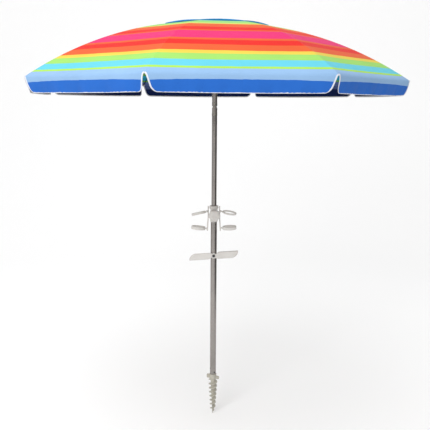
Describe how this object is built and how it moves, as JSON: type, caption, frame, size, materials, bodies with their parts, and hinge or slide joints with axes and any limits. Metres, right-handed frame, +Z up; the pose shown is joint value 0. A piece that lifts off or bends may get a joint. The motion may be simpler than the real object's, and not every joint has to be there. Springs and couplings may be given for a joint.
{
  "type": "beach umbrella",
  "caption": "Striped beach umbrella with a vented canopy, tilt joint, telescopic pole, clamp knob, hook rack, folding twist handle and screw-in sand anchor.",
  "frame": {"origin": "tip of the sand anchor, on the pole's axis", "axes": "+Z up along the pole, -Y to the front where the knob points, +X to the right as seen from the front"},
  "size_m": [1.7626, 1.7626, 2.065],
  "materials": {
    "striped_cloth": "woven polyester, printed stripes",
    "vent_cloth": "woven polyester",
    "strap": "woven tape",
    "white_plastic": "satin moulded",
    "anchor_plastic": "satin moulded",
    "black_plastic": "matt",
    "dark_steel": "black lacquer",
    "pole_steel": "grey metallic lacquer",
    "joint_metal": "satin",
    "bright_steel": "plated"
  },
  "bodies": {
    "base": {"sand_anchor": "anchor_plastic", "anchor_rivet": "bright_steel", "lower_pole": "pole_steel", "pole_bush": "black_plastic", "lock_collar": "white_plastic", "hook_rack": "white_plastic", "handle_bolt": "black_plastic", "handle_nut": "black_plastic"},
    "anchor_button": {"anchor_button": "black_plastic"},
    "twist_handle": {"twist_handle": "white_plastic"},
    "lock_knob": {"lock_knob": "white_plastic"},
    "upper": {"upper_pole": "pole_steel", "tilt_lower_knuckle": "joint_metal", "tilt_pin": "bright_steel"},
    "tilt_button": {"tilt_button": "black_plastic"},
    "top": {"top_pole": "pole_steel", "tilt_upper_knuckle": "joint_metal", "crown": "white_plastic", "finial": "white_plastic", "vent_cap": "vent_cloth", "runner_latch": "bright_steel"},
    "runner": {"runner": "white_plastic"},
    "hook_upper_left": {"hook_upper_left": "white_plastic"},
    "hook_upper_right": {"hook_upper_right": "white_plastic"},
    "hook_lower_left": {"hook_lower_left": "white_plastic"},
    "hook_lower_right": {"hook_lower_right": "white_plastic"},
    "rib_1": {"rib_1": "dark_steel", "rib_tip_1": "white_plastic", "canopy_gore_1": "striped_cloth"},
    "stretcher_1": {"stretcher_1": "dark_steel"},
    "rib_2": {"rib_2": "dark_steel", "rib_tip_2": "white_plastic", "canopy_gore_2": "striped_cloth"},
    "stretcher_2": {"stretcher_2": "dark_steel"},
    "rib_3": {"rib_3": "dark_steel", "rib_tip_3": "white_plastic", "canopy_gore_3": "striped_cloth"},
    "stretcher_3": {"stretcher_3": "dark_steel"},
    "rib_4": {"rib_4": "dark_steel", "rib_tip_4": "white_plastic", "canopy_gore_4": "striped_cloth"},
    "stretcher_4": {"stretcher_4": "dark_steel"},
    "rib_5": {"rib_5": "dark_steel", "rib_tip_5": "white_plastic", "canopy_gore_5": "striped_cloth", "closing_strap": "strap"},
    "stretcher_5": {"stretcher_5": "dark_steel"},
    "rib_6": {"rib_6": "dark_steel", "rib_tip_6": "white_plastic", "canopy_gore_6": "striped_cloth"},
    "stretcher_6": {"stretcher_6": "dark_steel"},
    "rib_7": {"rib_7": "dark_steel", "rib_tip_7": "white_plastic", "canopy_gore_7": "striped_cloth"},
    "stretcher_7": {"stretcher_7": "dark_steel"},
    "rib_8": {"rib_8": "dark_steel", "rib_tip_8": "white_plastic", "canopy_gore_8": "striped_cloth"},
    "stretcher_8": {"stretcher_8": "dark_steel"}
  },
  "joints": [
    {"name": "pole_height", "type": "slide", "parent": "base", "child": "upper", "axis": [0, 0, 1], "range_m": [-0.11, 0]},
    {"name": "tilt", "type": "hinge", "parent": "upper", "child": "top", "pos_m": [0, 0, 1.634], "axis": [-0.1201, 0.9928, 0], "range_deg": [0, 40]},
    {"name": "tilt_button_press", "type": "slide", "parent": "upper", "child": "tilt_button", "axis": [-0.9928, -0.1201, 0], "range_m": [-0.0025, 0], "stiffness_N_per_m": 400},
    {"name": "canopy_fold", "type": "hinge", "parent": "top", "child": "rib_1", "pos_m": [-0.00484, -0.01734, 2.028], "axis": [-0.9632, 0.2689, 0], "range_deg": [-68, 0], "deforming": ["canopy_gore_1", "vent_cap"]},
    {"name": "stretcher_1_turn", "type": "hinge", "parent": "rib_1", "child": "stretcher_1", "pos_m": [-0.09681, -0.34674, 1.98935], "axis": [-0.9632, 0.2689, 0], "range_deg": [0, 115.16]},
    {"name": "rib_2_fold", "type": "hinge", "parent": "top", "child": "rib_2", "pos_m": [0.00884, -0.01568, 2.028], "axis": [-0.8712, -0.4909, 0], "range_deg": [-68, 0], "deforming": ["canopy_gore_2"]},
    {"name": "stretcher_2_turn", "type": "hinge", "parent": "rib_2", "child": "stretcher_2", "pos_m": [0.17673, -0.31364, 1.98935], "axis": [-0.8712, -0.4909, 0], "range_deg": [0, 115.16]},
    {"name": "rib_3_fold", "type": "hinge", "parent": "top", "child": "rib_3", "pos_m": [0.01734, -0.00484, 2.028], "axis": [-0.2689, -0.9632, 0], "range_deg": [-68, 0], "deforming": ["canopy_gore_3"]},
    {"name": "stretcher_3_turn", "type": "hinge", "parent": "rib_3", "child": "stretcher_3", "pos_m": [0.34674, -0.09681, 1.98935], "axis": [-0.2689, -0.9632, 0], "range_deg": [0, 115.16]},
    {"name": "rib_4_fold", "type": "hinge", "parent": "top", "child": "rib_4", "pos_m": [0.01568, 0.00884, 2.028], "axis": [0.4909, -0.8712, 0], "range_deg": [-68, 0], "deforming": ["canopy_gore_4"]},
    {"name": "stretcher_4_turn", "type": "hinge", "parent": "rib_4", "child": "stretcher_4", "pos_m": [0.31364, 0.17673, 1.98935], "axis": [0.4909, -0.8712, 0], "range_deg": [0, 115.16]},
    {"name": "rib_5_fold", "type": "hinge", "parent": "top", "child": "rib_5", "pos_m": [0.00484, 0.01734, 2.028], "axis": [0.9632, -0.2689, 0], "range_deg": [-68, 0], "deforming": ["canopy_gore_5", "closing_strap"]},
    {"name": "stretcher_5_turn", "type": "hinge", "parent": "rib_5", "child": "stretcher_5", "pos_m": [0.09681, 0.34674, 1.98935], "axis": [0.9632, -0.2689, 0], "range_deg": [0, 115.16]},
    {"name": "rib_6_fold", "type": "hinge", "parent": "top", "child": "rib_6", "pos_m": [-0.00884, 0.01568, 2.028], "axis": [0.8712, 0.4909, 0], "range_deg": [-68, 0], "deforming": ["canopy_gore_6"]},
    {"name": "stretcher_6_turn", "type": "hinge", "parent": "rib_6", "child": "stretcher_6", "pos_m": [-0.17673, 0.31364, 1.98935], "axis": [0.8712, 0.4909, 0], "range_deg": [0, 115.16]},
    {"name": "rib_7_fold", "type": "hinge", "parent": "top", "child": "rib_7", "pos_m": [-0.01734, 0.00484, 2.028], "axis": [0.2689, 0.9632, 0], "range_deg": [-68, 0], "deforming": ["canopy_gore_7"]},
    {"name": "stretcher_7_turn", "type": "hinge", "parent": "rib_7", "child": "stretcher_7", "pos_m": [-0.34674, 0.09681, 1.98935], "axis": [0.2689, 0.9632, 0], "range_deg": [0, 115.16]},
    {"name": "rib_8_fold", "type": "hinge", "parent": "top", "child": "rib_8", "pos_m": [-0.01568, -0.00884, 2.028], "axis": [-0.4909, 0.8712, 0], "range_deg": [-68, 0], "deforming": ["canopy_gore_8"]},
    {"name": "stretcher_8_turn", "type": "hinge", "parent": "rib_8", "child": "stretcher_8", "pos_m": [-0.31364, -0.17673, 1.98935], "axis": [-0.4909, 0.8712, 0], "range_deg": [0, 115.16]},
    {"name": "runner_slide", "type": "slide", "parent": "top", "child": "runner", "axis": [0, 0, 1], "range_m": [-0.4738, 0], "deforming": ["runner_latch"]},
    {"name": "lock_knob_turn", "type": "hinge", "parent": "base", "child": "lock_knob", "pos_m": [0, 0, 1.104], "axis": [0.0872, -0.9962, 0], "range_deg": [0, 360]},
    {"name": "handle_fold", "type": "hinge", "parent": "base", "child": "twist_handle", "pos_m": [0, 0, 0.889], "axis": [0, 1, 0], "range_deg": [0, 94.2]},
    {"name": "anchor_button_press", "type": "slide", "parent": "base", "child": "anchor_button", "axis": [-0.8746, -0.4848, 0], "range_m": [-0.003, 0], "stiffness_N_per_m": 400},
    {"name": "hook_upper_left_swivel", "type": "hinge", "parent": "base", "child": "hook_upper_left", "pos_m": [-0.037, 0, 1.118], "axis": [-0.9744, 0, -0.225], "range_deg": [-60, 60]},
    {"name": "hook_upper_right_swivel", "type": "hinge", "parent": "base", "child": "hook_upper_right", "pos_m": [0.037, 0, 1.119], "axis": [0.9877, 0, -0.1564], "range_deg": [-60, 60]},
    {"name": "hook_lower_left_swivel", "type": "hinge", "parent": "base", "child": "hook_lower_left", "pos_m": [-0.037, 0, 1.029], "axis": [-0.9962, 0, 0.0872], "range_deg": [-60, 60]},
    {"name": "hook_lower_right_swivel", "type": "hinge", "parent": "base", "child": "hook_lower_right", "pos_m": [0.037, 0, 1.032], "axis": [0.9986, 0, 0.0523], "range_deg": [-60, 60]}
  ],
  "couplings": [
    {"joint": "rib_2_fold", "follows": "canopy_fold", "ratio": 1},
    {"joint": "rib_3_fold", "follows": "canopy_fold", "ratio": 1},
    {"joint": "rib_4_fold", "follows": "canopy_fold", "ratio": 1},
    {"joint": "rib_5_fold", "follows": "canopy_fold", "ratio": 1},
    {"joint": "rib_6_fold", "follows": "canopy_fold", "ratio": 1},
    {"joint": "rib_7_fold", "follows": "canopy_fold", "ratio": 1},
    {"joint": "rib_8_fold", "follows": "canopy_fold", "ratio": 1},
    {"joint": "stretcher_1_turn", "follows": "canopy_fold", "ratio": -1.6861},
    {"joint": "stretcher_2_turn", "follows": "canopy_fold", "ratio": -1.6861},
    {"joint": "stretcher_3_turn", "follows": "canopy_fold", "ratio": -1.6861},
    {"joint": "stretcher_4_turn", "follows": "canopy_fold", "ratio": -1.6861},
    {"joint": "stretcher_5_turn", "follows": "canopy_fold", "ratio": -1.6861},
    {"joint": "stretcher_6_turn", "follows": "canopy_fold", "ratio": -1.6861},
    {"joint": "stretcher_7_turn", "follows": "canopy_fold", "ratio": -1.6861},
    {"joint": "stretcher_8_turn", "follows": "canopy_fold", "ratio": -1.6861},
    {"joint": "runner_slide", "follows": "canopy_fold", "m_per_rad": 0.3988}
  ]
}
